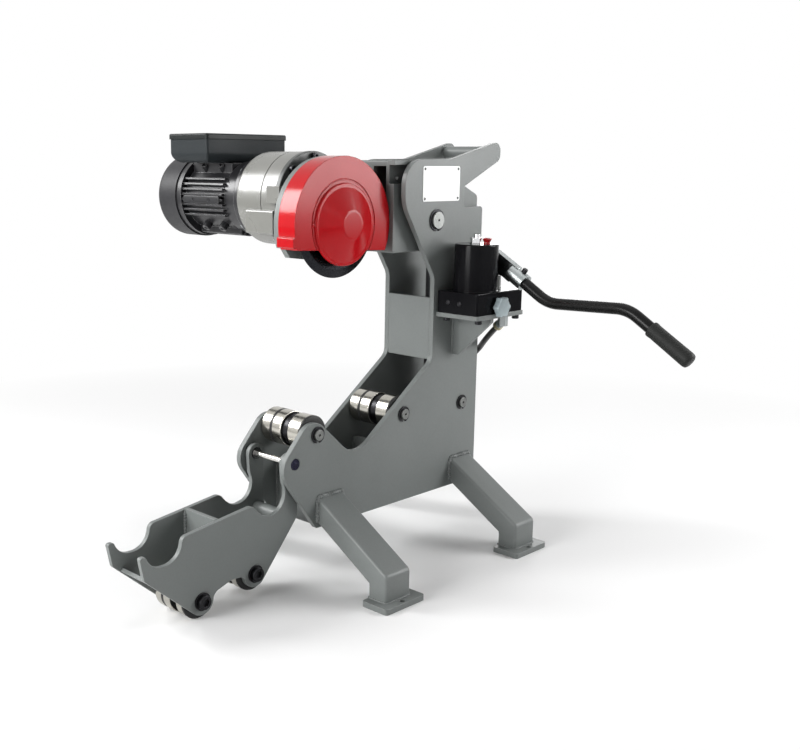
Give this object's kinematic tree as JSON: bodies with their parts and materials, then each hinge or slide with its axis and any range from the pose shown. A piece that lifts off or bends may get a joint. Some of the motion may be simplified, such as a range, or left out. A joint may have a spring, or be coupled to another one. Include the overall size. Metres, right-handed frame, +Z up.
{
  "type": "pipe cutting machine",
  "caption": "Hydraulic pipe cutter: grey plate frame on legs with pipe rollers, flip-over cradle, swinging motor head with guarded disc blade, and a hand pump that feeds the blade.",
  "frame": {"origin": "on the floor at the centre of the foot bolt pattern", "axes": "+X to the rear (column), +Y to the motor side, +Z up; pipe, rollers and blade turn about Y"},
  "size_m": [0.8416, 0.9177, 0.7635],
  "materials": {
    "grey_paint": "satin grey enamel",
    "roller_steel": "ground and polished",
    "pin_steel": "turned",
    "black_oxide": "black oxide",
    "blade_steel": "blackened tool steel, ground bevel",
    "red_enamel": "gloss red enamel",
    "gearbox_alloy": "satin cast and turned alloy",
    "flange_iron": "dark painted iron",
    "motor_paint": "black enamel on cast alloy",
    "cowl_paint": "black enamel",
    "stator_copper": "laminations and windings",
    "box_plastic": "dark grey moulded",
    "plate_white": "white lacquer, bare",
    "pump_black": "gloss black enamel",
    "reservoir_black": "gloss black enamel",
    "nut_chrome": "bright plated",
    "cap_red": "gloss",
    "socket_zinc": "bright zinc",
    "lever_black": "satin black",
    "grip_rubber": "matt",
    "knob_grey": "pale grey-blue",
    "hose_rubber": "satin",
    "ram_paint": "dark grey enamel"
  },
  "bodies": {
    "frame": {"side_plate_near": "grey_paint", "side_plate_far": "grey_paint", "column_front_panel": "grey_paint", "base_plates": "grey_paint", "carry_bar": "grey_paint", "legs": "grey_paint", "foot_plates": "grey_paint", "cross_shafts": "pin_steel", "circlips": "black_oxide", "frame_spacers": "black_oxide", "cradle_hinge_pin": "pin_steel", "nameplate": "plate_white", "pivot_pin": "pin_steel", "pump_bracket": "grey_paint", "pump_bolts": "black_oxide", "pump_block": "pump_black", "reservoir": "reservoir_black", "filler_cap": "cap_red", "reservoir_nut": "nut_chrome", "lever_yoke": "pump_black", "hose_fitting": "socket_zinc", "hydraulic_hose": "hose_rubber"},
    "head": {"swing_arm": "grey_paint", "ram_top_pin": "pin_steel", "blade_guard": "red_enamel", "gearbox_flange": "flange_iron", "gearbox_housing": "gearbox_alloy", "motor_end_shield": "motor_paint", "motor_body": "motor_paint", "motor_stator": "stator_copper", "fan_cowl": "cowl_paint", "capacitor_box": "box_plastic", "capacitor_lid": "box_plastic", "cable_gland": "box_plastic", "head_bolts": "black_oxide", "head_bearings": "pin_steel"},
    "spindle_group": {"spindle": "pin_steel", "cutter_blade": "blade_steel", "blade_clamp": "black_oxide", "spindle_gear": "pin_steel"},
    "layshaft_group": {"layshaft": "pin_steel"},
    "rotor_group": {"motor_rotor": "pin_steel", "cooling_fan": "box_plastic"},
    "ram_cylinder_group": {"ram_cylinder": "ram_paint"},
    "ram_rod_group": {"ram_rod": "pin_steel"},
    "cradle": {"cradle_plate_near": "grey_paint", "cradle_plate_far": "grey_paint", "cradle_crosspieces": "grey_paint", "cradle_bolts": "black_oxide", "cradle_nuts": "black_oxide"},
    "front_roller_set": {"front_rollers": "roller_steel"},
    "rear_roller_set": {"rear_rollers": "roller_steel"},
    "cradle_front_roller_set": {"cradle_front_rollers": "roller_steel"},
    "cradle_rear_roller_set": {"cradle_rear_rollers": "roller_steel"},
    "lever": {"lever_socket": "socket_zinc", "lever_tube": "lever_black", "lever_grip": "grip_rubber", "lever_screw": "black_oxide"},
    "piston": {"pump_piston": "pin_steel"},
    "knob": {"release_knob": "knob_grey"}
  },
  "joints": [
    {"name": "arm_swing", "type": "hinge", "parent": "frame", "child": "head", "pos_m": [0.09, 0, 0.612], "axis": [0, -1, 0], "range_deg": [0, 27], "stiffness_Nm_per_rad": 190, "springref_deg": -34.38},
    {"name": "blade_spin", "type": "hinge", "parent": "head", "child": "spindle_group", "pos_m": [-0.119, 0, 0.613], "axis": [0, 1, 0], "continuous": true},
    {"name": "layshaft_spin", "type": "hinge", "parent": "head", "child": "layshaft_group", "pos_m": [-0.08385, 0, 0.62989], "axis": [0, 1, 0], "continuous": true},
    {"name": "motor_spin", "type": "hinge", "parent": "head", "child": "rotor_group", "pos_m": [-0.119, 0, 0.65], "axis": [0, 1, 0], "continuous": true},
    {"name": "ram_swing", "type": "hinge", "parent": "frame", "child": "ram_cylinder_group", "pos_m": [0.18, 0, 0.26], "axis": [0, -1, 0], "range_deg": [0, 3.09]},
    {"name": "ram_extend", "type": "slide", "parent": "ram_cylinder_group", "child": "ram_rod_group", "axis": [0, 0, 1], "range_m": [0, 0.03841]},
    {"name": "cradle_flip", "type": "hinge", "parent": "frame", "child": "cradle", "pos_m": [-0.261, 0, 0.222], "axis": [0, 1, 0], "range_deg": [0, 188]},
    {"name": "front_rollers_spin", "type": "hinge", "parent": "frame", "child": "front_roller_set", "pos_m": [-0.21, 0, 0.264], "axis": [0, 1, 0], "continuous": true},
    {"name": "rear_rollers_spin", "type": "hinge", "parent": "frame", "child": "rear_roller_set", "pos_m": [0.01, 0, 0.264], "axis": [0, 1, 0], "continuous": true},
    {"name": "cradle_front_rollers_spin", "type": "hinge", "parent": "cradle", "child": "cradle_front_roller_set", "pos_m": [-0.44952, 0, 0.03292], "axis": [0, 1, 0], "continuous": true},
    {"name": "cradle_rear_rollers_spin", "type": "hinge", "parent": "cradle", "child": "cradle_rear_roller_set", "pos_m": [-0.33861, 0, 0.04851], "axis": [0, 1, 0], "continuous": true},
    {"name": "pump_lever", "type": "hinge", "parent": "frame", "child": "lever", "pos_m": [0.199, -0.1, 0.535], "axis": [-1, 0, 0], "range_deg": [0, 55]},
    {"name": "pump_stroke", "type": "slide", "parent": "frame", "child": "piston", "axis": [0, 0, 1], "range_m": [0, 0.006]},
    {"name": "release_turn", "type": "hinge", "parent": "frame", "child": "knob", "pos_m": [0.16, -0.16, 0.457], "axis": [0, -1, 0], "range_deg": [0, 270]}
  ],
  "couplings": [
    {"joint": "layshaft_spin", "follows": "blade_spin", "ratio": -4.5714},
    {"joint": "motor_spin", "follows": "blade_spin", "ratio": 26.286},
    {"joint": "ram_swing", "follows": "arm_swing", "ratio": 0.11426},
    {"joint": "ram_extend", "follows": "arm_swing", "m_per_rad": 0.081509},
    {"joint": "pump_stroke", "follows": "pump_lever", "m_per_rad": 0.0062498}
  ]
}
